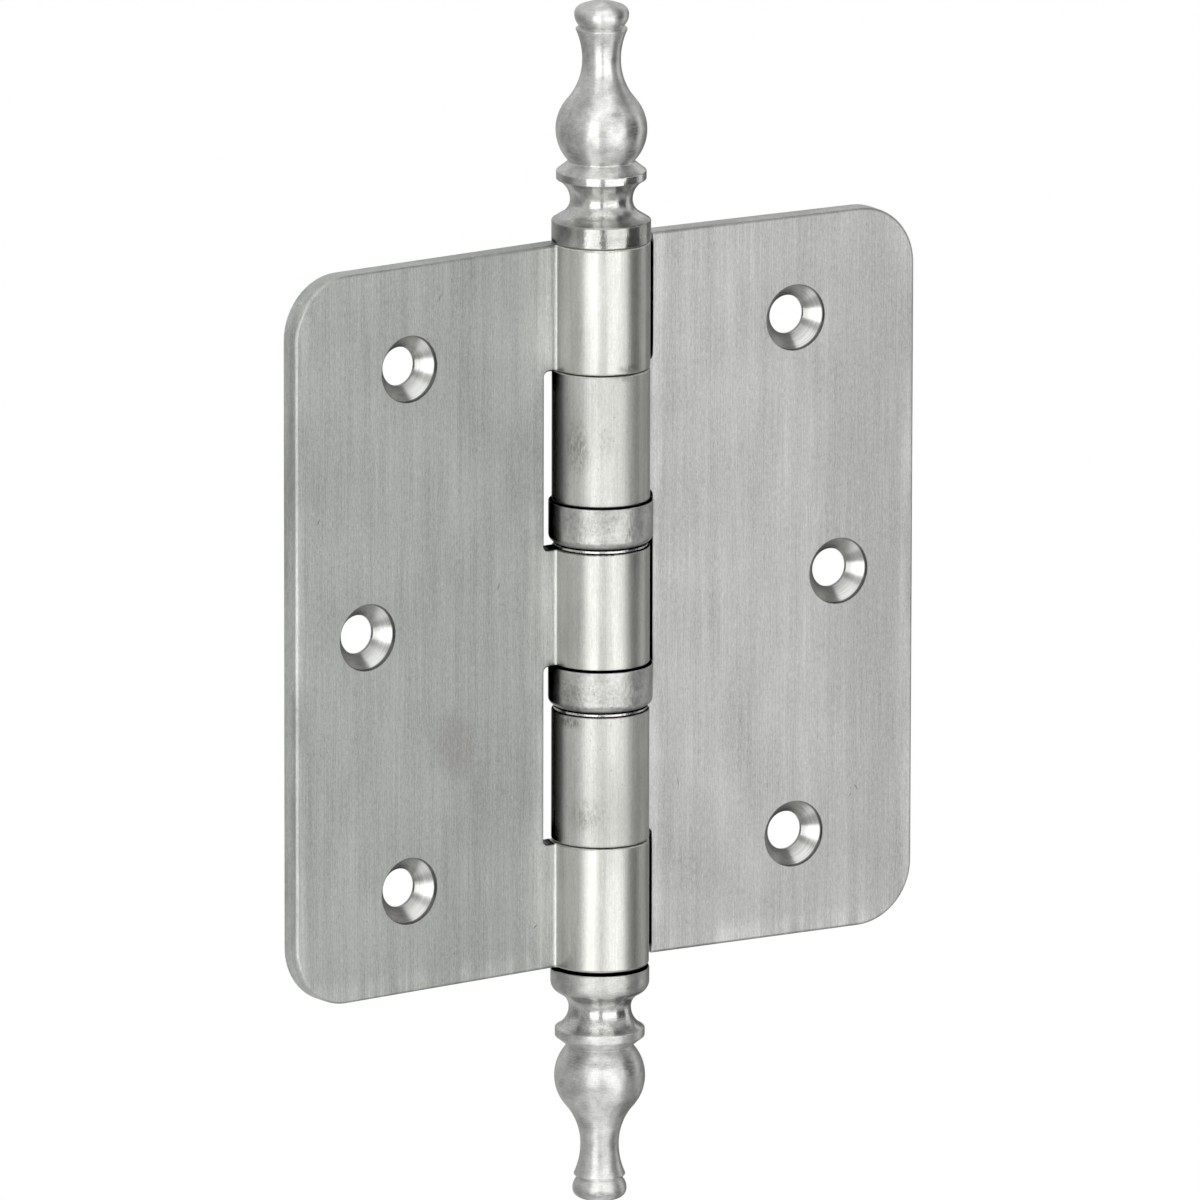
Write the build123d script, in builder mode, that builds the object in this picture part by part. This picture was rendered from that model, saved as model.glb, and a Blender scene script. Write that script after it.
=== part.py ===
from build123d import *
from math import acos, asin, atan2, cos, degrees, floor, hypot, pi, radians, sin, sqrt, tan
import os

# Ball bearing butt hinge with turned finials, in millimetres.
# The origin is on the pin axis at mid height, with +Z up along the pin.
# The frame leaf lies towards -X and the door leaf towards +X, with the countersunk faces towards -Y.

# Leaves
leaf_height = 101.6
leaf_reach = 50.45  # pin axis to the outer edge
leaf_thickness = 3.0
leaf_setback = 1.1  # pin axis back to the countersunk face
leaf_corner_radius = 8.5
front_edge_radius = 0.4
back_edge_radius = 0.25  # also round the ends of the knuckles
short_of_flat = 6.384  # degrees that the door leaf stands forward of the frame leaf's plane

# Screw holes
screw_hole_diameter = 5.4
countersink_diameter = 9.25
countersink_angle = 90
countersink_drop = 0.6  # straight rim above the cone
screw_row_spacing = 73.0  # top hole to bottom hole
end_screw_reach = 31.5
middle_screw_reach = 38.5

# Knuckles, rolled from the leaves
middle_knuckle_height = 16.45
end_knuckle_height = 17.6
knuckle_gap = 0.15  # between an end knuckle and its neighbour
window_clearance = 2.0  # from a knuckle to the edge of the window that it turns in
window_corner_radius = 0.7
bend_radius = 0.45  # where the countersunk face turns into the knuckle
seam_width = 0.2
seam_edge_radius = 0.6

# Pin
pin_diameter = 7.4
pin_clearance = 0.05
spigot_diameter = 5.0
spigot_length = 8.0
spigot_chamfer = 0.5
spigot_clearance = 0.05
spigot_hole_spare = 1.0  # drilled past the end of the spigot
drill_point_angle = 118
bottom_finial_gap = 0.4

# Bearings
bearing_height = 6.35
bearing_play = 0.12  # above each bearing
shell_diameter = 14.4
shell_wall = 0.5
shell_edge_radius = 1.1
shell_rim_radius = 0.12
shell_pin_clearance = 0.3
shell_mouth_overlap = 0.45  # how far the curled edge reaches under the bottom race
race_pin_clearance = 0.08
top_race_height = 1.4
top_race_clearance = 0.05
bottom_race_clearance = 0.3
bottom_flange_height = 0.45
bottom_flange_inset = 0.7  # flange edge inside the shell's outside
flange_edge_radius = 0.12
curl_clearance = 0.2
flange_clearance = 0.1
ball_diameter = 2.381
ball_clearance = 0.03
ball_spacing = 0.2
groove_depth = 0.3

# Finial, from its seat to its tip
finial_base_diameter = 13.65
finial_base_height = 2.95
finial_neck_diameter = 8.6
lower_cove_height = 2.8
lower_cove_radius = 2.2
upper_cove_height = 2.9
disc_diameter = 12.4
disc_thickness = 1.15
shoulder_height = 1.35
crease_diameter = 9.0
bulb_diameter = 12.56
bulb_to_waist = 9.7
waist_diameter = 5.3
waist_to_collar = 4.3
collar_diameter = 7.2
collar_to_groove = 0.42
groove_diameter = 6.15
groove_to_button = 1.6
button_diameter = 7.5
button_crown = 1.8  # from the widest part to the tip
button_edge_radius = 1.3
finial_edge_radius = 0.2
top_base_edge_radius = 0.3
bottom_base_edge_radius = 1.8  # worn rounder than the top one

# Sizes that follow from the ones above
pin_radius = pin_diameter / 2
bore_radius = pin_radius + pin_clearance
barrel_radius = bore_radius + leaf_thickness
mid_wall = bore_radius + leaf_thickness / 2
window_reach = barrel_radius + window_clearance
leaf_back = leaf_setback + leaf_thickness
seam_turn = degrees(asin(leaf_back / barrel_radius))
leaf_top = leaf_height / 2
end_knuckle_bottom = leaf_top - end_knuckle_height
middle_knuckle_top = middle_knuckle_height / 2
door_knuckle_top = end_knuckle_bottom - knuckle_gap
door_knuckle_bottom = middle_knuckle_top + bearing_height + bearing_play
shell_radius = shell_diameter / 2
shell_inside = shell_radius - shell_wall
race_bore = pin_radius + race_pin_clearance
bottom_race_radius = shell_inside - bottom_race_clearance
ball_radius = ball_diameter / 2
ball_track = (race_bore + bottom_race_radius) / 2
half_race_gap = ball_radius - groove_depth
bottom_race_height = bearing_height - shell_wall - top_race_height - 2 * half_race_gap
ball_height = bottom_race_height + half_race_gap
ball_count = floor(pi / asin((ball_radius + ball_spacing / 2) / ball_track))

near = 0.001  # how closely an edge or corner is found by its place

os.makedirs("parts", exist_ok=True)


def save(piece, label):
    piece.part.label = label
    export_step(piece.part, f"parts/{label}.step")


# A leaf plane has its x out from the pin and its y towards the back of the leaf.
def rolled_leaf(leaf_plane, windows):
    out = leaf_plane.x_dir
    back = leaf_plane.y_dir
    front_face = Plane(origin=back * leaf_setback, x_dir=out, z_dir=back * -1)
    with BuildPart() as leaf:
        # Plate and knuckle in section: the end of the curl stops at a seam behind the plate
        with BuildSketch(leaf_plane) as section:
            Circle(barrel_radius)
            with Locations((leaf_reach / 2, leaf_setback + leaf_thickness / 2)):
                Rectangle(leaf_reach, leaf_thickness)
            front_corners = section.vertices().filter_by(lambda v: abs(v.Y - leaf_setback) < near)
            fillet(front_corners.sort_by(Axis.X)[0], bend_radius)
            Circle(bore_radius, mode=Mode.SUBTRACT)
            with PolarLocations(mid_wall, 1, start_angle=seam_turn):
                Rectangle(2 * leaf_thickness, seam_width, mode=Mode.SUBTRACT)
            outside = section.vertices().filter_by(lambda v: abs(hypot(v.X, v.Y) - barrel_radius) < near)
            fillet(outside.sort_by(Axis.Y)[-1], seam_edge_radius)
        extrude(amount=leaf_top, both=True)

        across = Axis((0, 0, 0), back)
        plate_corners = leaf.edges().filter_by(across).filter_by(
            lambda e: e.center().dot(out) > leaf_reach - near)
        fillet(plate_corners, leaf_corner_radius)

        # Windows that the other leaf's knuckles turn in
        for low, high in windows:
            with BuildSketch(front_face):
                with Locations((0, (low + high) / 2)):
                    Rectangle(2 * window_reach, high - low)
            extrude(amount=2 * barrel_radius, both=True, mode=Mode.SUBTRACT)
        window_corners = leaf.edges().filter_by(across).filter_by(
            lambda e: abs(e.center().dot(out) - window_reach) < near
            and abs(e.center().Z) < leaf_top - near)
        fillet(window_corners, window_corner_radius)

        # Softened edges: round the countersunk face, round the windows and knuckle ends, round the back
        outline = leaf.edges().filter_by(
            lambda e: abs(e.center().dot(back) - leaf_setback) < near
            and e.center().dot(out) > window_reach + near)
        fillet(outline, front_edge_radius)
        rims = leaf.edges().filter_by(GeomType.CIRCLE).filter_by(
            lambda e: abs(e.radius - barrel_radius) < near
            and abs(e.center().Z) < end_knuckle_bottom + near)
        fillet(rims, back_edge_radius)
        back_outline = leaf.edges().filter_by(
            lambda e: abs(e.center().dot(back) - leaf_back) < near
            and e.center().dot(out) > window_reach - near)
        fillet(back_outline, back_edge_radius)

        rim_floor = front_face.offset(-countersink_drop)
        screw_places = [
            rim_floor.location * Location((reach, height, 0))
            for reach, height in (
                (end_screw_reach, screw_row_spacing / 2),
                (middle_screw_reach, 0),
                (end_screw_reach, -screw_row_spacing / 2),
            )
        ]
        with Locations(*screw_places):
            CounterSinkHole(
                screw_hole_diameter / 2,
                countersink_diameter / 2,
                depth=leaf_thickness,
                counter_sink_angle=countersink_angle,
            )
    return leaf


# The frame leaf runs out from the pin towards -X, the door leaf towards +X and a little forward
frame_plane = Plane(origin=(0, 0, 0), x_dir=(-1, 0, 0), z_dir=(0, 0, -1))
door_turn = radians(-short_of_flat)
door_plane = Plane(origin=(0, 0, 0), x_dir=(cos(door_turn), sin(door_turn), 0), z_dir=(0, 0, 1))
past_end = leaf_top + leaf_thickness

frame_leaf = rolled_leaf(
    frame_plane,
    [(middle_knuckle_top, end_knuckle_bottom), (-end_knuckle_bottom, -middle_knuckle_top)],
)
save(frame_leaf, "frame_leaf")

door_leaf = rolled_leaf(
    door_plane,
    [
        (door_knuckle_top, past_end),
        (-door_knuckle_bottom, door_knuckle_bottom),
        (-past_end, -door_knuckle_top),
    ],
)
save(door_leaf, "door_leaf")

# The pin's shoulders clamp between the two finials, which screw onto its spigots
pin_top = leaf_top
pin_bottom = -leaf_top - bottom_finial_gap
with BuildPart() as hinge_pin:
    with BuildSketch(Plane.XY.offset(pin_bottom)):
        Circle(pin_radius)
    extrude(amount=pin_top - pin_bottom)
    with BuildSketch(Plane.XY.offset(pin_bottom - spigot_length)):
        Circle(spigot_diameter / 2)
    extrude(amount=pin_top - pin_bottom + 2 * spigot_length)
    ends = hinge_pin.faces().filter_by(Axis.Z).sort_by(Axis.Z)
    chamfer(ends[0].edges() + ends[-1].edges(), spigot_chamfer)
save(hinge_pin, "hinge_pin")


# Half sections are drawn on a plane through the pin axis, from a seat up (1) or down (-1)
def lathe_plane(seat_height, direction=1):
    return Plane(origin=(0, 0, seat_height), x_dir=(1, 0, 0), z_dir=(0, -direction, 0))


def turned_finial(seat_height, direction, base_edge_radius):
    lathe = lathe_plane(seat_height, direction)
    base_radius = finial_base_diameter / 2
    neck_radius = finial_neck_diameter / 2
    disc_radius = disc_diameter / 2
    crease_radius = crease_diameter / 2
    bulb_radius = bulb_diameter / 2
    waist_radius = waist_diameter / 2
    button_radius = button_diameter / 2

    neck_height = finial_base_height + lower_cove_height
    disc_bottom = neck_height + upper_cove_height
    disc_top = disc_bottom + disc_thickness
    crease_height = disc_top + shoulder_height
    bulb_height = crease_height + sqrt(bulb_radius**2 - crease_radius**2)
    waist_height = bulb_height + bulb_to_waist
    collar_height = waist_height + waist_to_collar
    groove_height = collar_height + collar_to_groove
    button_height = groove_height + groove_to_button
    tip_height = button_height + button_crown

    # The lower cove's round runs straight out to the edge of the base
    cove_centre = neck_radius + lower_cove_radius
    edge_reach = hypot(base_radius - cove_centre, lower_cove_height)
    edge_angle = atan2(-lower_cove_height, base_radius - cove_centre)
    cove_angle = edge_angle - acos(lower_cove_radius / edge_reach)
    cove_end = (
        cove_centre + lower_cove_radius * cos(cove_angle),
        neck_height + lower_cove_radius * sin(cove_angle),
    )

    # The hollow above the bulb is an arc that runs into the bulb's own round without a corner
    hollow_radius = (waist_radius**2 + bulb_to_waist**2 - bulb_radius**2) / (
        2 * (bulb_radius - waist_radius))
    reach = hypot(waist_radius + hollow_radius, bulb_to_waist)
    bulb_end = (
        bulb_radius * (waist_radius + hollow_radius) / reach,
        bulb_height + bulb_radius * bulb_to_waist / reach,
    )

    # The button's rounded edge runs into a flatter crown in the same way
    edge_centre = button_radius - button_edge_radius
    crown_radius = (edge_centre**2 + button_crown**2 - button_edge_radius**2) / (
        2 * (button_crown - button_edge_radius))
    crown_share = crown_radius / (crown_radius - button_edge_radius)
    crown_edge = (
        edge_centre * crown_share,
        tip_height - crown_radius + (crown_radius - button_crown) * crown_share,
    )

    base_edge = (base_radius, finial_base_height)
    neck = (neck_radius, neck_height)
    disc_edge = (disc_radius, disc_bottom)
    crease = (crease_radius, crease_height)
    waist = (waist_radius, waist_height)
    collar = (collar_diameter / 2, collar_height)
    groove = (groove_diameter / 2, groove_height)
    button = (button_radius, button_height)

    with BuildPart() as finial:
        with BuildSketch(lathe) as profile:
            with BuildLine():
                Polyline((0, tip_height), (0, 0), (base_radius, 0), base_edge, cove_end)
                TangentArc(neck, cove_end, tangent=(0, -1))
                TangentArc(neck, disc_edge, tangent=(0, 1))
                Polyline(disc_edge, (disc_radius, disc_top), crease)
                ThreePointArc(crease, (bulb_radius, bulb_height), bulb_end)
                TangentArc(waist, bulb_end, tangent=(0, -1))
                TangentArc(waist, collar, tangent=(0, 1))
                Line(collar, groove)
                TangentArc(button, groove, tangent=(0, -1))
                TangentArc(button, crown_edge, tangent=(0, 1))
                TangentArc((0, tip_height), crown_edge, tangent=(1, 0))
            make_face()
            turned_edges = profile.vertices().filter_by(
                lambda v: (abs(v.X - base_radius) < near and v.Y < near)
                or abs(v.X - disc_radius) < near
                or abs(v.X - crease_radius) < near
                or abs(v.X - collar_diameter / 2) < near)
            fillet(turned_edges, finial_edge_radius)
            base_corner = profile.vertices().filter_by(
                lambda v: abs(v.X - base_radius) < near and abs(v.Y - finial_base_height) < near)
            fillet(base_corner, base_edge_radius)
        revolve(axis=Axis.Z)

        # Blind hole for the pin's spigot, with the drill's point at its end
        hole_radius = spigot_diameter / 2 + spigot_clearance
        hole_depth = spigot_length + spigot_hole_spare
        drill_point = hole_radius / tan(radians(drill_point_angle / 2))
        with BuildSketch(lathe):
            with BuildLine():
                Polyline(
                    (0, 0), (hole_radius, 0), (hole_radius, hole_depth),
                    (0, hole_depth + drill_point), close=True)
            make_face()
        revolve(axis=Axis.Z, mode=Mode.SUBTRACT)
    return finial


top_finial = turned_finial(pin_top, 1, top_base_edge_radius)
save(top_finial, "top_finial")
bottom_finial = turned_finial(pin_bottom, -1, bottom_base_edge_radius)
save(bottom_finial, "bottom_finial")


# Each bearing stands on the knuckle below it and carries the one above:
# the bottom race turns with the lower knuckle, the shell with the upper one.
def thrust_bearing(seat_height, name):
    lathe = lathe_plane(seat_height)
    flange_radius = shell_radius - bottom_flange_inset
    shell_bottom = bottom_flange_height + flange_clearance
    mouth_radius = bottom_race_radius - shell_mouth_overlap
    curl_radius = shell_radius - shell_edge_radius
    curl_height = shell_bottom + shell_edge_radius
    shell_bore = pin_radius + shell_pin_clearance
    ceiling = bearing_height - shell_wall

    # Drawn shell: flat top, straight wall and an edge curled in under the bottom race
    with BuildPart() as shell:
        with BuildSketch(lathe) as cup:
            with BuildLine():
                Polyline((mouth_radius, shell_bottom), (curl_radius, shell_bottom))
                RadiusArc((curl_radius, shell_bottom), (shell_radius, curl_height), -shell_edge_radius)
                Polyline(
                    (shell_radius, curl_height), (shell_radius, bearing_height),
                    (shell_bore, bearing_height), (shell_bore, ceiling),
                    (shell_inside, ceiling), (shell_inside, curl_height))
                RadiusArc(
                    (shell_inside, curl_height), (curl_radius, shell_bottom + shell_wall),
                    shell_edge_radius - shell_wall)
                Polyline(
                    (curl_radius, shell_bottom + shell_wall), (mouth_radius, shell_bottom + shell_wall),
                    (mouth_radius, shell_bottom))
            make_face()
            fillet(cup.vertices().sort_by(Axis.X).sort_by(Axis.Y)[-1], shell_rim_radius)
        revolve(axis=Axis.Z)
    save(shell, f"{name}_bearing_shell")

    top_race_radius = shell_inside - top_race_clearance
    with BuildPart() as top_race:
        with BuildSketch(lathe):
            with Locations(((race_bore + top_race_radius) / 2, ceiling - top_race_height / 2)):
                Rectangle(top_race_radius - race_bore, top_race_height)
            with Locations((ball_track, ball_height)):
                Circle(ball_radius + ball_clearance, mode=Mode.SUBTRACT)
        revolve(axis=Axis.Z)
    save(top_race, f"{name}_bearing_top_race")

    # The shell's curled edge reaches into the bottom race's waist, and the flange shows below it
    waist_radius = mouth_radius - curl_clearance
    waist_top = shell_bottom + shell_wall + curl_clearance
    with BuildPart() as bottom_race:
        with BuildSketch(lathe) as ring:
            with BuildLine():
                Polyline(
                    (race_bore, 0), (flange_radius, 0), (flange_radius, bottom_flange_height),
                    (waist_radius, bottom_flange_height), (waist_radius, waist_top),
                    (bottom_race_radius, waist_top), (bottom_race_radius, bottom_race_height),
                    (race_bore, bottom_race_height), close=True)
            make_face()
            with Locations((ball_track, ball_height)):
                Circle(ball_radius + ball_clearance, mode=Mode.SUBTRACT)
            flange_corners = ring.vertices().filter_by(lambda v: abs(v.X - flange_radius) < near)
            fillet(flange_corners, flange_edge_radius)
        revolve(axis=Axis.Z)
    save(bottom_race, f"{name}_bearing_bottom_race")

    for index in range(ball_count):
        angle = 2 * pi * index / ball_count
        place = Plane.XY.offset(seat_height + ball_height)
        with BuildPart(place) as ball:
            with Locations((ball_track * cos(angle), ball_track * sin(angle))):
                Sphere(ball_radius)
        save(ball, f"{name}_bearing_ball_{index + 1:02d}")


thrust_bearing(middle_knuckle_top, "upper")
thrust_bearing(-door_knuckle_bottom, "lower")
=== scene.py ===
import bpy
import math
from mathutils import Matrix, Vector

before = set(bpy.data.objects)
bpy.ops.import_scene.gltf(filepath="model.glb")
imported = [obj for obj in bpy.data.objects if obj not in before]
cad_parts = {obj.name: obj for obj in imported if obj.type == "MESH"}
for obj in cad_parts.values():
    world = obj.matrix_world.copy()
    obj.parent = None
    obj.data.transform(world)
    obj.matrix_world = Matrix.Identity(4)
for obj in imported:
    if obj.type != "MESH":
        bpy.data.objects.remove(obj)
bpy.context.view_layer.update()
print("frame loaded:", len(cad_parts), "nodes")

mm = 0.001


def addNode(tree, kind, links=None, values=None, **props):
    new = tree.nodes.new("ShaderNode" + kind)
    for key, value in props.items():
        setattr(new, key, value)
    for socket, value in (values or {}).items():
        new.inputs[socket].default_value = value
    for socket, source in (links or {}).items():
        tree.links.new(source, new.inputs[socket])
    return new


def feed(tree, socket, value):
    # a number or a colour is set on the socket, anything else is linked to it
    if isinstance(value, (int, float)):
        socket.default_value = value
    elif isinstance(value, tuple):
        socket.default_value = (*value, 1.0)
    else:
        tree.links.new(value, socket)


def mathNode(tree, operation, *values):
    new = addNode(tree, "Math", operation=operation)
    for place, value in enumerate(values):
        feed(tree, new.inputs[place], value)
    return new.outputs[0]


def product(tree, first, *others):
    for other in others:
        first = mathNode(tree, "MULTIPLY", first, other)
    return first


def largest(tree, first, *others):
    for other in others:
        first = mathNode(tree, "MAXIMUM", first, other)
    return first


def lengthOf(tree, vector):
    return addNode(tree, "VectorMath", operation="LENGTH", links={0: vector}).outputs["Value"]


def fadeNode(tree, value, limits, before, past):
    new = addNode(tree, "MapRange", links={"Value": value}, interpolation_type="SMOOTHSTEP")
    for socket, number in zip(("From Min", "From Max", "To Min", "To Max"), (*limits, before, past)):
        new.inputs[socket].default_value = number
    return new.outputs["Result"]


def fadeIn(tree, value, limits, least=0.0):
    return fadeNode(tree, value, limits, least, 1.0)


def fadeOut(tree, value, limits, least=0.0):
    return fadeNode(tree, value, limits, 1.0, least)


def mixValue(tree, factor, first, second):
    new = addNode(tree, "Mix", data_type="FLOAT", links={0: factor})
    feed(tree, new.inputs[2], first)
    feed(tree, new.inputs[3], second)
    return new.outputs[0]


def mixColour(tree, factor, first, second, blend="MIX"):
    new = addNode(tree, "Mix", data_type="RGBA", blend_type=blend)
    for place, value in ((0, factor), (6, first), (7, second)):
        feed(tree, new.inputs[place], value)
    return new.outputs[2]


def tinted(tree, mask, tone, tint):
    return mixColour(tree, mask, tone, mixColour(tree, 1.0, tone, tint, "MULTIPLY"))


def between(tree, value, limits):
    return mathNode(tree, "MULTIPLY_ADD", value, limits[1] - limits[0], limits[0])


def grain(tree, coords, size, detail, roughness, shift=(0, 0, 0)):
    scaled = addNode(tree, "Mapping", links={"Vector": coords},
                     values={"Scale": [1.0 / side for side in size], "Location": shift})
    noise = addNode(tree, "TexNoise", links={"Vector": scaled.outputs[0]},
                    values={"Scale": 1.0, "Detail": detail, "Roughness": roughness})
    return noise.outputs["Fac"]


def weighted(tree, marks, mix):
    # adds up grains round their middle, each with its own weight, to a value round one half
    total = 0.5 - 0.5 * sum(mix.values())
    for key, weight in mix.items():
        total = mathNode(tree, "MULTIPLY_ADD", marks[key], weight, total)
    return total


def newSteel(name):
    steel = bpy.data.materials.new(name)
    steel.use_nodes = True
    tree = steel.node_tree
    tree.nodes.clear()
    shader = addNode(tree, "BsdfPrincipled", values={"Metallic": 1.0})
    addNode(tree, "OutputMaterial", links={"Surface": shader.outputs[0]})
    return steel, tree, shader


gapShadeSettings = {"samples": 10, "limits": (0.14, 0.3)}  # painted shade: how far other pieces close a spot in, from unshaded to black


def paintedGapShade(tree, reach):
    # painted shade where other pieces close the spot in, while the piece's own hollows stay as they are
    inAll = addNode(tree, "AmbientOcclusion", values={"Distance": reach}, samples=gapShadeSettings["samples"])
    inOwn = addNode(tree, "AmbientOcclusion", values={"Distance": reach}, samples=gapShadeSettings["samples"],
                    only_local=True)
    closed = mathNode(tree, "SUBTRACT", inOwn.outputs["AO"], inAll.outputs["AO"])
    return fadeOut(tree, closed, gapShadeSettings["limits"])


def paintGapShade(tree, shader, tone, gapShadeFactor):
    # the painted shade in the gaps goes into the colour and the gloss, since steel seen edge-on would turn
    # white there
    tree.links.new(mixColour(tree, 1.0, tone, gapShadeFactor, "MULTIPLY"), shader.inputs["Base Color"])
    tree.links.new(gapShadeFactor, shader.inputs["Specular Tint"])


marking = {"spot": (0.35, 1.0), "smear": (0.2, 1.0), "dirt": (0.4, 0.6)}  # soft edges, and the dirt's grain


def spotMask(tree, face, reach, height, turn, half):
    # an ellipse on a leaf's face, one in the middle and none outside
    local = addNode(tree, "Mapping", links={"Vector": face}, vector_type="TEXTURE",
                    values={"Location": (reach, 0, height), "Rotation": (0, math.radians(turn), 0),
                            "Scale": (half[0], 1, half[1])})
    return fadeOut(tree, lengthOf(tree, local.outputs[0]), marking["spot"])


def smearMask(tree, place, dirt, least, around, radius, height, half):
    # an uneven patch on a round surface, placed by degrees round the pin, distance from its axis and height
    side = math.radians(around)
    local = addNode(tree, "Mapping", links={"Vector": place}, vector_type="TEXTURE",
                    values={"Location": (radius * math.cos(side), radius * math.sin(side), height),
                            "Scale": (half[0], half[0], half[1])})
    patch = fadeOut(tree, lengthOf(tree, local.outputs[0]), marking["smear"])
    return product(tree, patch, fadeIn(tree, dirt, marking["dirt"], least))


# sizes that both leaves share, as in the CAD model, and where one finish fades into the next
leafShape = {
    "doorTurn": math.radians(6.384),  # the door leaf stands this far short of flat
    "barrelRadius": 6.75 * mm,
    "screws": [(31.5 * mm, 36.5 * mm), (38.5 * mm, 0.0), (31.5 * mm, -36.5 * mm)],  # reach, height
    "barrel": (6.85 * mm, 7.15 * mm), "plate": (8.9 * mm, 9 * mm),  # distance from the pin's axis
    "sheared": (0.25, 0.6),  # how squarely a face looks to the front or back
    "front": (1.6 * mm, 2.1 * mm), "sinkBack": (3.9 * mm, 4.05 * mm),  # distance behind the pin's axis
    # distance from a screw's axis
    "sinkFloorShade": (2.7 * mm, 4.025 * mm), "sinkWall": (4.465 * mm, 4.585 * mm), "sink": (4.645 * mm, 4.725 * mm),
    "besideBarrel": (8 * mm, 13 * mm), "freeEdge": (47.45 * mm, 49.65 * mm),  # reach from the pin
    "lowEdge": (-49.8 * mm, -46.8 * mm), "leafEnds": (49.2 * mm, 50.4 * mm),  # height
    "roundedEnd": (0.15, 0.5),  # how far the edge of a knuckle looks up or down
    "darkFrom": (-20 * mm, -16 * mm), "darkTo": (8 * mm, 10 * mm),  # between these heights its edges get no painted highlight and keep the painted shade
}

# rolled leaves: brushed along the height, brighter on the barrel, turned in the countersinks
frameLeafFinish = {
    "dark": (0.116, 0.120, 0.115), "light": (0.672, 0.690, 0.662),
    "grains": {  # size across twice and along, detail, roughness, shift
        "longStreak": ((0.16 * mm, 0.16 * mm, 14 * mm), 2.0, 0.6),
        "shortStreak": ((0.16 * mm, 0.16 * mm, 0.9 * mm), 2.0, 0.6, (7, 3, 1)),
        "pits": ((0.16 * mm, 0.16 * mm, 0.3 * mm), 1.0, 0.5, (1, 9, 4)),
        "band": ((1.6 * mm, 1.6 * mm, 45 * mm), 2.0, 0.5, (2, 5, 9)),
        "cloud": ((9 * mm, 9 * mm, 16 * mm), 3.0, 0.55, (4, 1, 6)),
        "speck": ((0.35 * mm, 0.35 * mm, 0.5 * mm), 3.0, 0.6, (8, 2, 5)),
    },
    "dirt": ((0.4 * mm, 0.4 * mm, 0.9 * mm), 3.0, 0.65, (2, 7, 3)),
    "tooling": ((0.12 * mm, 6 * mm, 1.0), 2.0, 0.6),  # size outwards from the screw, along the leaf, unused
    "brush": {"longStreak": 0.36, "shortStreak": 0.5, "pits": 0.3, "band": 0.22, "cloud": 0.28},
    "relief": {"longStreak": 0.5, "shortStreak": 0.6, "pits": 0.3},
    "brushDepth": 0.012 * mm, "brushStrength": 0.45, "anisotropic": 0.5,
    "roughness": (0.38, 0.48), "barrelRoughness": (0.27, 0.36), "sinkRoughness": (0.19, 0.30),
    "rimRoughness": 0.55,
    "worn": {"band": 1.0, "cloud": 1.0}, "wornFrom": (0.3, 0.65), "wornTint": (1.18, 1.18, 1.18),
    "rolledEven": 0.35,  # how far rolling evened out the brush marks on the barrel
    # the rim's tint brightens it as painted light, the knuckle edges' tint is a painted highlight
    "barrelTint": (1.03, 1.0, 0.985), "rimPaintedLight": (1.2, 1.2, 1.2), "knuckleHighlightTint": (1.5, 1.5, 1.5),
    "sinkDark": (0.36, 0.36, 0.35), "sinkLight": (0.70, 0.70, 0.68),
    "sinkFloorShade": 0.62, "sinkLineShade": 0.4,  # painted shade: how much darker next to the hole and along the rim's wall
    "specks": (0.72, 0.77), "speckTint": (0.62, 0.62, 0.6),  # dark specks on the barrel, from this grain on
    "gapShadeReach": 3.6 * mm,
    "stain": {"cloud": 1.0, "band": 0.6}, "stainFrom": (0.3, 0.55), "stainLeast": 0.3,
    "stainsAndShade": [  # reach, height, turn, half sizes, tint
        (23.6 * mm, -17.3 * mm, 15, (4.6 * mm, 6.4 * mm), (0.875, 0.845, 0.85)),
    ],
    "tickTint": (0.5, 0.5, 0.5),
    "ticks": [  # reach, height, turn, half sizes
        (16.5 * mm, 4.2 * mm, 78, (0.75 * mm, 0.12 * mm)), (10.2 * mm, -44.5 * mm, 40, (0.6 * mm, 0.13 * mm)),
        (46.7 * mm, 17.2 * mm, 60, (0.7 * mm, 0.12 * mm)), (26.4 * mm, 45.8 * mm, 75, (0.6 * mm, 0.12 * mm)),
    ],
    "smearLeast": 0.16,
    "smears": [  # on the barrel: degrees round the pin, height, half sizes, tint
        (-92, 34 * mm, (2.2 * mm, 0.9 * mm), (0.5, 0.5, 0.48)),
        (-150, 40 * mm, (1.6 * mm, 6 * mm), (0.88, 0.88, 0.87)),
    ],
}
doorLeafFinish = dict(
    frameLeafFinish,
    dark=(0.122, 0.123, 0.119), light=(0.703, 0.707, 0.690),
    barrelRoughness=(0.36, 0.46), barrelTint=(0.985, 0.975, 0.955), specks=(0.66, 0.71),
    stainsAndShade=[
        (17 * mm, -40 * mm, 20, (4.5 * mm, 5 * mm), (0.93, 0.93, 0.93)),
        # painted shade: the door leaf darker over its outer part, towards its free edge
        (47 * mm, 4 * mm, 0, (14 * mm, 58 * mm), (0.88, 0.885, 0.885)),
    ],
    ticks=[
        (41.5 * mm, -31 * mm, 55, (0.8 * mm, 0.12 * mm)), (40.5 * mm, -32 * mm, 120, (0.5 * mm, 0.1 * mm)),
        (13 * mm, -27 * mm, 82, (0.7 * mm, 0.1 * mm)),
    ],
    smears=[
        (-155, 22.9 * mm, (2.6 * mm, 5.4 * mm), (0.64, 0.64, 0.62)),
        (-122, 24 * mm, (1.6 * mm, 3 * mm), (0.82, 0.82, 0.8)),
        (-143, -28.5 * mm, (3.6 * mm, 3.4 * mm), (0.72, 0.72, 0.7)),
        # dark dirt with painted shade under the lower race
        (-165, -15.6 * mm, (3 * mm, 1.2 * mm), (0.5, 0.5, 0.48)),
        (-95, 33.2 * mm, (2.4 * mm, 1.4 * mm), (0.6, 0.6, 0.58)),
    ],
)


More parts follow.
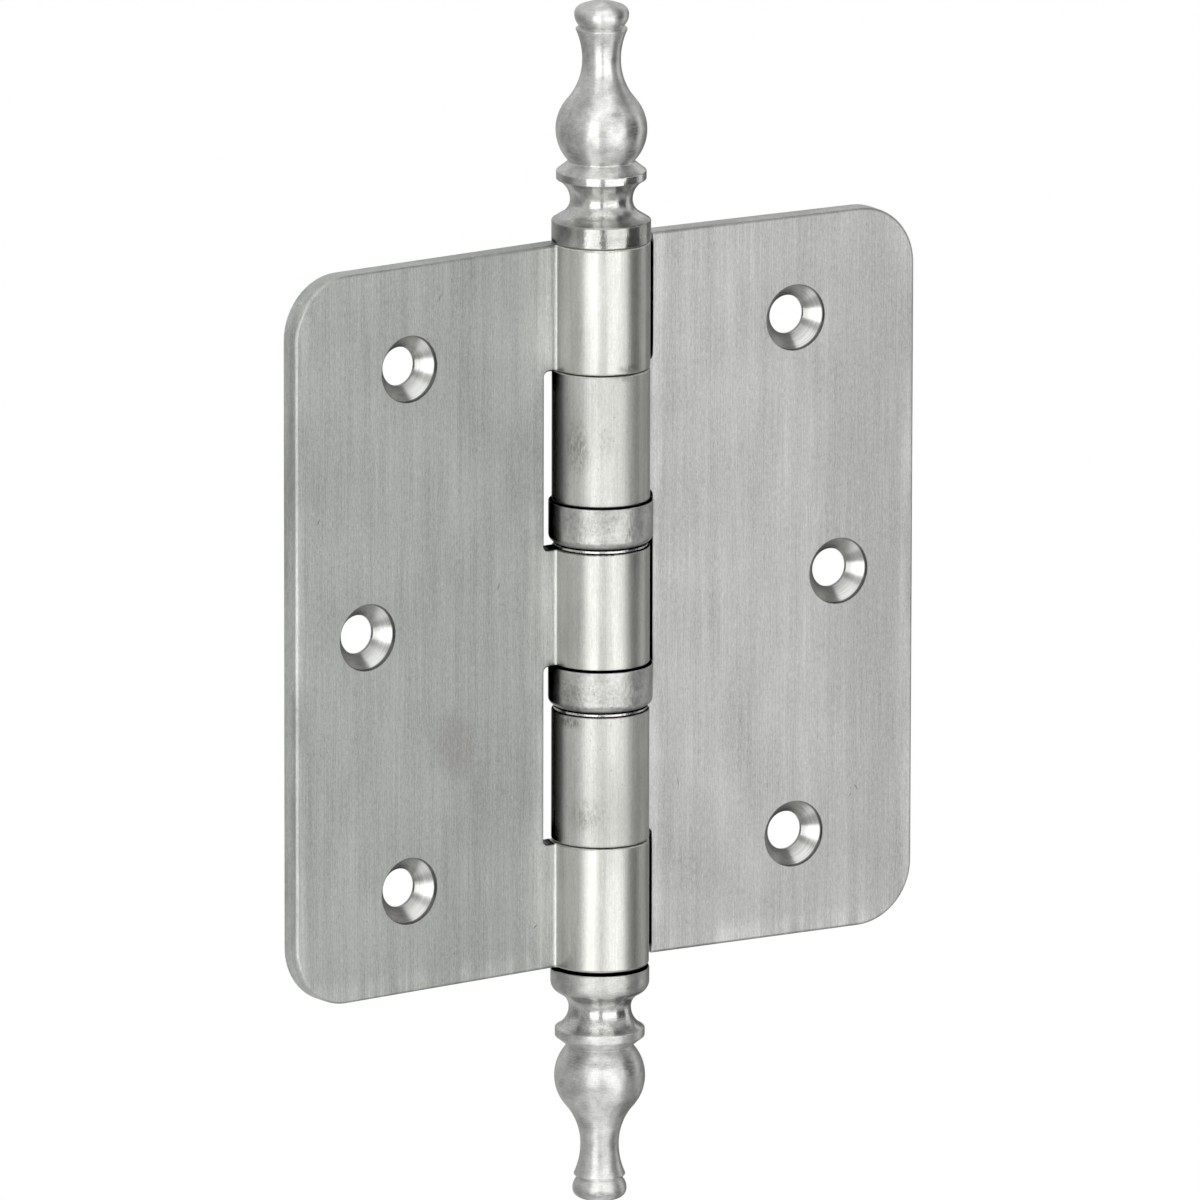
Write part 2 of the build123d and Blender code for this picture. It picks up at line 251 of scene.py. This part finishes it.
def leafSteel(name, finish, turn):
    steel, tree, shader = newSteel(name)
    texture = addNode(tree, "TexCoord")
    place, normal = texture.outputs["Object"], texture.outputs["Normal"]
    flat = addNode(tree, "Mapping", links={"Vector": place}, values={"Rotation": (0, 0, turn)}).outputs[0]
    split = addNode(tree, "SeparateXYZ", links={"Vector": flat})
    behind, height = split.outputs["Y"], split.outputs["Z"]
    reach = mathNode(tree, "ABSOLUTE", split.outputs["X"])
    ring = addNode(tree, "CombineXYZ", links={"X": split.outputs["X"], "Y": behind})
    radius = lengthOf(tree, ring.outputs[0])
    face = addNode(tree, "CombineXYZ", links={"X": reach, "Z": height}).outputs[0]

    # masks: barrel, countersinks, sheared rim, countersunk face
    barrel = fadeOut(tree, radius, leafShape["barrel"])
    nearest = None
    for screwReach, screwHeight in leafShape["screws"]:
        gap = addNode(tree, "VectorMath", operation="DISTANCE", links={0: face},
                      values={1: (screwReach, 0, screwHeight)}).outputs["Value"]
        nearest = gap if nearest is None else mathNode(tree, "MINIMUM", nearest, gap)
    sink = product(tree, fadeOut(tree, nearest, leafShape["sink"]),
                   fadeOut(tree, behind, leafShape["sinkBack"]))
    facing = addNode(tree, "VectorMath", operation="DOT_PRODUCT", links={0: normal},
                     values={1: (math.sin(turn), math.cos(turn), 0)}).outputs["Value"]
    sheared = fadeOut(tree, mathNode(tree, "ABSOLUTE", facing), leafShape["sheared"])
    onPlate = fadeIn(tree, radius, leafShape["plate"])
    rim = product(tree, sheared, onPlate, mathNode(tree, "SUBTRACT", 1.0, sink))
    inFront = fadeOut(tree, behind, leafShape["front"])

    marks = {key: grain(tree, flat, *settings) for key, settings in finish["grains"].items()}
    tone = mixColour(tree, weighted(tree, marks, finish["brush"]), finish["dark"], finish["light"])

    # brighter along the free and lower edges and next to the barrel, where the brush dwells
    dwell = largest(tree, fadeIn(tree, reach, leafShape["freeEdge"]),
                    fadeOut(tree, reach, leafShape["besideBarrel"]),
                    fadeOut(tree, height, leafShape["lowEdge"]))
    worn = product(tree, dwell, fadeIn(tree, weighted(tree, marks, finish["worn"]), finish["wornFrom"]))
    tone = tinted(tree, worn, tone, finish["wornTint"])

    # barrel: evened out by rolling, with specks and smears
    even = tuple((dark + light) / 2 for dark, light in zip(finish["dark"], finish["light"]))
    tone = mixColour(tree, product(tree, barrel, finish["rolledEven"]), tone, even)
    tone = tinted(tree, barrel, tone, finish["barrelTint"])
    specks = product(tree, barrel, fadeIn(tree, marks["speck"], finish["specks"]))
    tone = tinted(tree, specks, tone, finish["speckTint"])
    dirt = grain(tree, place, *finish["dirt"])
    for around, spotHeight, half, tint in finish["smears"]:
        smear = smearMask(tree, place, dirt, finish["smearLeast"], around, leafShape["barrelRadius"],
                          spotHeight, half)
        tone = tinted(tree, product(tree, smear, barrel), tone, tint)

    # turned countersinks, with painted shade next to the hole and along the rim's wall
    outwards = addNode(tree, "CombineXYZ", links={"X": nearest, "Y": reach}).outputs[0]
    tooling = grain(tree, outwards, *finish["tooling"])
    turned = mixColour(tree, tooling, finish["sinkDark"], finish["sinkLight"])
    depth = fadeIn(tree, nearest, leafShape["sinkFloorShade"], finish["sinkFloorShade"])
    sinkWallShade = fadeOut(tree, nearest, leafShape["sinkWall"], finish["sinkLineShade"])
    turned = mixColour(tree, 1.0, turned, product(tree, depth, sinkWallShade), "MULTIPLY")
    tone = mixColour(tree, sink, tone, turned)

    # sheared rim, rougher as sheared steel is and brightened with painted light; stains, one of them painted
    # shade; and ticks
    tone = tinted(tree, rim, tone, finish["rimPaintedLight"])
    uneven = fadeIn(tree, weighted(tree, marks, finish["stain"]), finish["stainFrom"], finish["stainLeast"])
    for *spot, tint in finish["stainsAndShade"]:
        tone = tinted(tree, product(tree, spotMask(tree, face, *spot), uneven, inFront), tone, tint)
    for spot in finish["ticks"]:
        tone = tinted(tree, product(tree, spotMask(tree, face, *spot), inFront), tone, finish["tickTint"])

    # painted highlight on the rounded knuckle edges, which are spared the painted shade, and painted shade in
    # the gaps
    axial = addNode(tree, "SeparateXYZ", links={"Vector": normal}).outputs["Z"]
    rounded = fadeIn(tree, mathNode(tree, "ABSOLUTE", axial), leafShape["roundedEnd"])
    darkBand = product(tree, fadeIn(tree, height, leafShape["darkFrom"]),
                       fadeOut(tree, height, leafShape["darkTo"]))
    paintedKnuckleHighlight = product(tree, barrel, rounded, mathNode(tree, "SUBTRACT", 1.0, darkBand))
    tone = tinted(tree, paintedKnuckleHighlight, tone, finish["knuckleHighlightTint"])
    leafEnd = fadeIn(tree, mathNode(tree, "ABSOLUTE", height), leafShape["leafEnds"])
    gapShadeFactor = largest(tree, paintedGapShade(tree, finish["gapShadeReach"]), leafEnd, sink, paintedKnuckleHighlight)
    paintGapShade(tree, shader, tone, gapShadeFactor)

    streak = marks["shortStreak"]
    rough = mixValue(tree, barrel, between(tree, streak, finish["roughness"]),
                     between(tree, streak, finish["barrelRoughness"]))
    rough = mixValue(tree, sink, rough, between(tree, tooling, finish["sinkRoughness"]))
    tree.links.new(mixValue(tree, rim, rough, finish["rimRoughness"]), shader.inputs["Roughness"])
    shader.inputs["Anisotropic"].default_value = finish["anisotropic"]
    relief = mixValue(tree, sink, weighted(tree, marks, finish["relief"]), tooling)
    bump = addNode(tree, "Bump", links={"Height": relief},
                   values={"Strength": finish["brushStrength"], "Distance": finish["brushDepth"]})
    tree.links.new(bump.outputs[0], shader.inputs["Normal"])
    return steel


def cube(side):
    return (side, side, side)


# what all turned and drawn pieces share
turnedGrains = {  # detail, roughness, shift
    "wave": (1.0, 0.5, (1, 6, 4)), "mottle": (1.0, 0.5, (3, 8, 2)), "speckle": (1.0, 0.5, (5, 1, 7)),
    "lathe": (2.0, 0.6),
}
turnedMarks = {
    "shade": {"lathe": 0.45, "speckle": 0.42, "mottle": 0.5, "wave": 0.8},
    "speck": (cube(0.5 * mm), 3.0, 0.6, (8, 2, 5)), "speckTint": (0.6, 0.6, 0.58),
    "lowerEdge": (-0.5, -0.2),  # how far down a face looks where it gets no painted gap shade
    "grainTurn": 0.25,  # the grain runs round the pin
}

# finials: satin, polished between two heights, smeared
topFinialFinish = {
    "dark": (0.31, 0.31, 0.302), "light": (0.95, 0.95, 0.93), "roughness": (0.34, 0.46), "anisotropic": 0.8,
    "polished": (0.0, 60.8 * mm), "polishedEdge": 0.3 * mm,
    "polishedTint": (0.88, 0.88, 0.87), "polishedRoughness": (0.2, 0.3),
    "base": (53.9 * mm, 54.5 * mm), "baseTint": (0.66, 0.66, 0.65),
    "latheSize": (1.2 * mm, 1.2 * mm, 0.13 * mm), "latheDepth": 0.003 * mm,
    "speckleSize": cube(0.24 * mm), "speckleDepth": 0.012 * mm,
    "mottleSize": cube(1.2 * mm), "mottleDepth": 0.03 * mm,
    "waveSize": cube(4.2 * mm), "waveDepth": 0.2 * mm,
    "specks": (0.70, 0.75), "gapShadeReach": 1.2 * mm,
    "dirt": ((1.1 * mm, 1.1 * mm, 0.3 * mm), 2.0, 0.6, (6, 4, 9)), "smearLeast": 0.4,
    "smears": [  # degrees round the pin, distance from its axis, height, half sizes, tint
        (-79, 6.2 * mm, 67.3 * mm, (1.5 * mm, 2.4 * mm), (0.5, 0.5, 0.5)),
        (-108, 6.2 * mm, 69.4 * mm, (2.0 * mm, 0.9 * mm), (0.66, 0.66, 0.66)),
        (-171, 5.4 * mm, 63.6 * mm, (2.2 * mm, 1.7 * mm), (0.55, 0.55, 0.55)),
        (-79, 5.4 * mm, 64.0 * mm, (1.6 * mm, 1.5 * mm), (0.55, 0.55, 0.55)),
        (-81, 3.6 * mm, 82.6 * mm, (1.7 * mm, 0.7 * mm), (0.55, 0.55, 0.55)),
        (-160, 3.4 * mm, 81.6 * mm, (1.5 * mm, 0.6 * mm), (0.7, 0.7, 0.7)),
    ],
}
bottomFinialFinish = dict(
    topFinialFinish,
    polished=(54.2 * mm, 59.8 * mm), roughness=(0.44, 0.56), baseTint=(0.9, 0.9, 0.89),
    smears=[
        (-81, 5.8 * mm, -64.7 * mm, (1.5 * mm, 2.5 * mm), (0.5, 0.5, 0.5)),
        (-126, 5.9 * mm, -64.0 * mm, (3.2 * mm, 0.9 * mm), (0.66, 0.66, 0.66)),
        (-164, 5.8 * mm, -63.7 * mm, (2.1 * mm, 1.7 * mm), (0.66, 0.66, 0.66)),
        (-132, 6.0 * mm, -67.4 * mm, (2.8 * mm, 0.9 * mm), (0.72, 0.72, 0.72)),
        (-126, 3.4 * mm, -83.0 * mm, (4.0 * mm, 0.8 * mm), (0.55, 0.55, 0.55)),
    ],
)

# bearing shells: drawn and tumbled
shellFinish = {
    "dark": (0.21, 0.21, 0.202), "light": (0.63, 0.63, 0.608), "roughness": (0.36, 0.48), "anisotropic": 0.0,
    "latheSize": (0.2 * mm, 0.9 * mm, 0.6 * mm), "latheDepth": 0.012 * mm,
    "speckleSize": cube(0.28 * mm), "speckleDepth": 0.014 * mm,
    "mottleSize": cube(0.7 * mm), "mottleDepth": 0.05 * mm,
    "waveSize": cube(4 * mm), "waveDepth": 0.06 * mm,
    "specks": (0.66, 0.71), "gapShadeReach": 3.6 * mm,
}

# races, pin and balls: ground
raceFinish = {
    "dark": (0.30, 0.30, 0.29), "light": (0.86, 0.86, 0.84), "roughness": (0.2, 0.36), "anisotropic": 0.4,
    "latheSize": (0.6 * mm, 0.6 * mm, 0.1 * mm), "latheDepth": 0.006 * mm,
    "speckleSize": cube(0.3 * mm), "speckleDepth": 0.01 * mm,
    "mottleSize": cube(0.5 * mm), "mottleDepth": 0.04 * mm,
    "waveSize": cube(3 * mm), "waveDepth": 0.02 * mm,
    "specks": (0.62, 0.67), "gapShadeReach": 0.6 * mm,
}
pinFinish = dict(
    raceFinish,
    dark=(0.5, 0.5, 0.49), light=(0.66, 0.66, 0.65), latheSize=(1.5 * mm, 1.5 * mm, 0.15 * mm),
    mottleDepth=0.01 * mm, waveDepth=0.01 * mm, specks=(0.72, 0.77),
)
ballFinish = dict(
    raceFinish,
    dark=(0.66, 0.66, 0.67), light=(0.76, 0.76, 0.77), roughness=(0.05, 0.1), latheSize=cube(0.3 * mm),
    latheDepth=0.001 * mm, speckleDepth=0.001 * mm, mottleDepth=0.001 * mm, waveDepth=0.001 * mm,
    specks=(0.8, 0.85),
)


def turnedSteel(name, finish):
    steel, tree, shader = newSteel(name)
    texture = addNode(tree, "TexCoord")
    place = texture.outputs["Object"]
    marks = {key: grain(tree, place, finish[key + "Size"], *rest) for key, rest in turnedGrains.items()}
    tone = mixColour(tree, weighted(tree, marks, turnedMarks["shade"]), finish["dark"], finish["light"])
    rough = between(tree, marks["mottle"], finish["roughness"])

    if "polished" in finish:  # a finial
        height = mathNode(tree, "ABSOLUTE", addNode(tree, "SeparateXYZ", links={"Vector": place}).outputs["Z"])
        low, high = finish["polished"]
        soft = finish["polishedEdge"]
        polished = product(tree, fadeIn(tree, height, (low - soft, low + soft)),
                           fadeOut(tree, height, (high - soft, high + soft)))
        tone = tinted(tree, polished, tone, finish["polishedTint"])
        rough = mixValue(tree, polished, rough, between(tree, marks["mottle"], finish["polishedRoughness"]))
        tone = tinted(tree, fadeOut(tree, height, finish["base"]), tone, finish["baseTint"])
        dirt = grain(tree, place, *finish["dirt"])
        for *spot, tint in finish["smears"]:
            tone = tinted(tree, smearMask(tree, place, dirt, finish["smearLeast"], *spot), tone, tint)

    # specks, and painted shade in the gaps
    specks = fadeIn(tree, grain(tree, place, *turnedMarks["speck"]), finish["specks"])
    tone = tinted(tree, specks, tone, turnedMarks["speckTint"])
    axial = addNode(tree, "SeparateXYZ", links={"Vector": texture.outputs["Normal"]}).outputs["Z"]
    unshadedBelow = fadeOut(tree, axial, turnedMarks["lowerEdge"])
    paintGapShade(tree, shader, tone, largest(tree, paintedGapShade(tree, finish["gapShadeReach"]), unshadedBelow))

    tree.links.new(rough, shader.inputs["Roughness"])
    shader.inputs["Anisotropic"].default_value = finish["anisotropic"]
    shader.inputs["Anisotropic Rotation"].default_value = turnedMarks["grainTurn"]
    socket = shader.inputs["Normal"]
    for key in reversed(turnedGrains):  # the finest marks lie on top
        bump = addNode(tree, "Bump", links={"Height": marks[key]},
                       values={"Strength": 1.0, "Distance": finish[key + "Depth"]})
        tree.links.new(bump.outputs[0], socket)
        socket = bump.inputs["Normal"]
    return steel


steels = {
    "frame_leaf": leafSteel("brushedFrameLeaf", frameLeafFinish, 0.0),
    "door_leaf": leafSteel("brushedDoorLeaf", doorLeafFinish, leafShape["doorTurn"]),
    "top_finial": turnedSteel("turnedTopFinial", topFinialFinish),
    "bottom_finial": turnedSteel("turnedBottomFinial", bottomFinialFinish),
    "shell": turnedSteel("drawnShell", shellFinish),
    "race": turnedSteel("groundRace", raceFinish),
    "pin": turnedSteel("groundPin", pinFinish),
    "ball": turnedSteel("polishedBall", ballFinish),
}

for nodeName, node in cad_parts.items():
    finishKey = next(key for key in steels if key in nodeName)
    for slot in node.material_slots:
        slot.material = steels[finishKey]
print("steels assigned to", len(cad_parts), "nodes")

# camera at the photograph's place
cameraView = {
    "azimuth": -36.2594, "elevation": 12.8052, "roll": 0.1084,
    "distance": 2.9521, "lens": 645.64, "sensor": 36, "clipEnd": 100,
    "aimRight": -0.0706 * mm, "aimUp": 0.3629 * mm,
}
azimuth, elevation, roll = (math.radians(cameraView[key]) for key in ("azimuth", "elevation", "roll"))
away = Vector((math.sin(azimuth) * math.cos(elevation), -math.cos(azimuth) * math.cos(elevation),
               math.sin(elevation)))
level = Vector((math.cos(azimuth), math.sin(azimuth), 0))
upright = away.cross(level)
right = level * math.cos(roll) + upright * math.sin(roll)
up = upright * math.cos(roll) - level * math.sin(roll)
aim = right * cameraView["aimRight"] + up * cameraView["aimUp"]
bpy.ops.object.camera_add(location=away * cameraView["distance"] + aim)
camera = bpy.context.object
camera.rotation_euler = Matrix((right, up, away)).transposed().to_euler()
camera.data.sensor_width = cameraView["sensor"]
camera.data.lens = cameraView["lens"]
camera.data.clip_end = cameraView["clipEnd"]
bpy.context.scene.camera = camera
print("camera set")

# studio: soft boxes either side of the camera, cards and flags round the hinge that only its steel reflects
studio = {
    "distance": 0.8, "bottom": -0.40, "top": 0.19,
    "boxes": {  # from and to in degrees right of the camera, strength
        "softLeft": (-37, -2.5, 1.9), "softRight": (11, 63, 1.35),
    },
    "cards": {  # the same, and the top
        "cameraGap": (-2.5, 11, 0.45, 0.19),
        "flagRight": (63, 103, 0.09, 0.19),
        "cardRight": (103, 128, 0.85, 0.19),
        "duskRight": (128, 143, 0.28, 0.3),
        "darkRight": (143, 185, 0.18, 0.15),
        "duskBack": (185, 240, 0.45, 0.15),
        "duskLeft": (240, 283, 0.28, 0.12),
        "greyLeft": (283, 323, 0.58, 0.19),
    },
    "tilted": {  # right, up, distance, side, strength
        "overhead": (6, 64, 0.9, 0.9, 1.5),
        "tableFront": (8, -66, 0.85, 0.5, 1.2),
        "flagHigh": (112, 48, 0.9, 0.6, 0.2),
        "flagLow": (140, -48, 0.85, 0.7, 0.1),
    },
    "rings": {  # from and to in height, strength
        "ringAbove": (0.19, 1.15, 0.7), "ringBelow": (-0.95, -0.40, 0.58),
    },
    "ringRadius": 0.95, "ringSides": 48,
    "floorHeight": -1.0, "floorSide": 60, "floorRoughness": 0.9,
    "white": (1, 1, 1, 1), "worldStrength": 1.0,
}
cameraAngle = math.degrees(math.atan2(away.y, away.x))


def aroundHinge(start, end, top):
    # place, width and turn of an upright panel that spans these angles
    middle = math.radians(cameraAngle + (start + end) / 2)
    width = 2 * studio["distance"] * math.tan(math.radians((end - start) / 2))
    place = Vector((math.cos(middle), math.sin(middle), 0)) * studio["distance"]
    place.z = (studio["bottom"] + top) / 2
    return place, width, middle


def cardPaint(card, name, strength):
    card.name = name
    paint = bpy.data.materials.new(card.name)
    paint.use_nodes = True
    paint.node_tree.nodes.clear()
    glow = addNode(paint.node_tree, "Emission", values={"Color": studio["white"], "Strength": strength})
    addNode(paint.node_tree, "OutputMaterial", links={"Surface": glow.outputs[0]})
    card.data.materials.append(paint)
    card.visible_camera = False
    card.visible_diffuse = False
    card.visible_transmission = False
    card.visible_shadow = False


for boxName, (start, end, strength) in studio["boxes"].items():
    place, width, middle = aroundHinge(start, end, studio["top"])
    height = studio["top"] - studio["bottom"]
    bpy.ops.object.light_add(type="AREA", location=place, rotation=(math.pi / 2, 0, middle + math.pi / 2))
    box = bpy.context.object
    box.name = boxName
    box.data.shape = "RECTANGLE"
    box.data.size = width
    box.data.size_y = height
    box.data.energy = strength * math.pi * width * height
    box.visible_camera = False

for cardName, (start, end, strength, top) in studio["cards"].items():
    place, width, middle = aroundHinge(start, end, top)
    bpy.ops.mesh.primitive_plane_add(size=1, location=place, rotation=(math.pi / 2, 0, middle - math.pi / 2))
    bpy.context.object.scale = (width, top - studio["bottom"], 1)
    cardPaint(bpy.context.object, cardName, strength)

for cardName, (across, rise, distance, side, strength) in studio["tilted"].items():
    turn, lift = math.radians(cameraAngle + across), math.radians(rise)
    direction = Vector((math.cos(turn) * math.cos(lift), math.sin(turn) * math.cos(lift), math.sin(lift)))
    bpy.ops.mesh.primitive_plane_add(size=side, location=direction * distance,
                                     rotation=direction.to_track_quat("Z", "Y").to_euler())
    cardPaint(bpy.context.object, cardName, strength)

for ringName, (low, high, strength) in studio["rings"].items():
    sides, radius = studio["ringSides"], studio["ringRadius"]
    bpy.ops.mesh.primitive_cylinder_add(vertices=sides, radius=radius, depth=high - low,
                                        end_fill_type="NOTHING", location=(0, 0, (low + high) / 2))
    cardPaint(bpy.context.object, ringName, strength)
    far = max(low, high, key=abs)
    bpy.ops.mesh.primitive_circle_add(vertices=sides, radius=radius, fill_type="NGON", location=(0, 0, far))
    cardPaint(bpy.context.object, ringName + "Lid", strength)

bpy.ops.mesh.primitive_plane_add(size=studio["floorSide"], location=(0, 0, studio["floorHeight"]))
floor = bpy.context.object
floor.name = "studioFloor"
floorPaint = bpy.data.materials.new("paleFloor")
floorPaint.use_nodes = True
floorShader = floorPaint.node_tree.nodes["Principled BSDF"]
floorShader.inputs["Base Color"].default_value = studio["white"]
floorShader.inputs["Roughness"].default_value = studio["floorRoughness"]
floor.data.materials.append(floorPaint)

world = bpy.data.worlds.new("whiteStudio")
bpy.context.scene.world = world
world.use_nodes = True
sky = world.node_tree.nodes["Background"]
sky.inputs["Color"].default_value = studio["white"]
sky.inputs["Strength"].default_value = studio["worldStrength"]
bpy.context.scene.view_settings.view_transform = "Standard"
print("studio set")
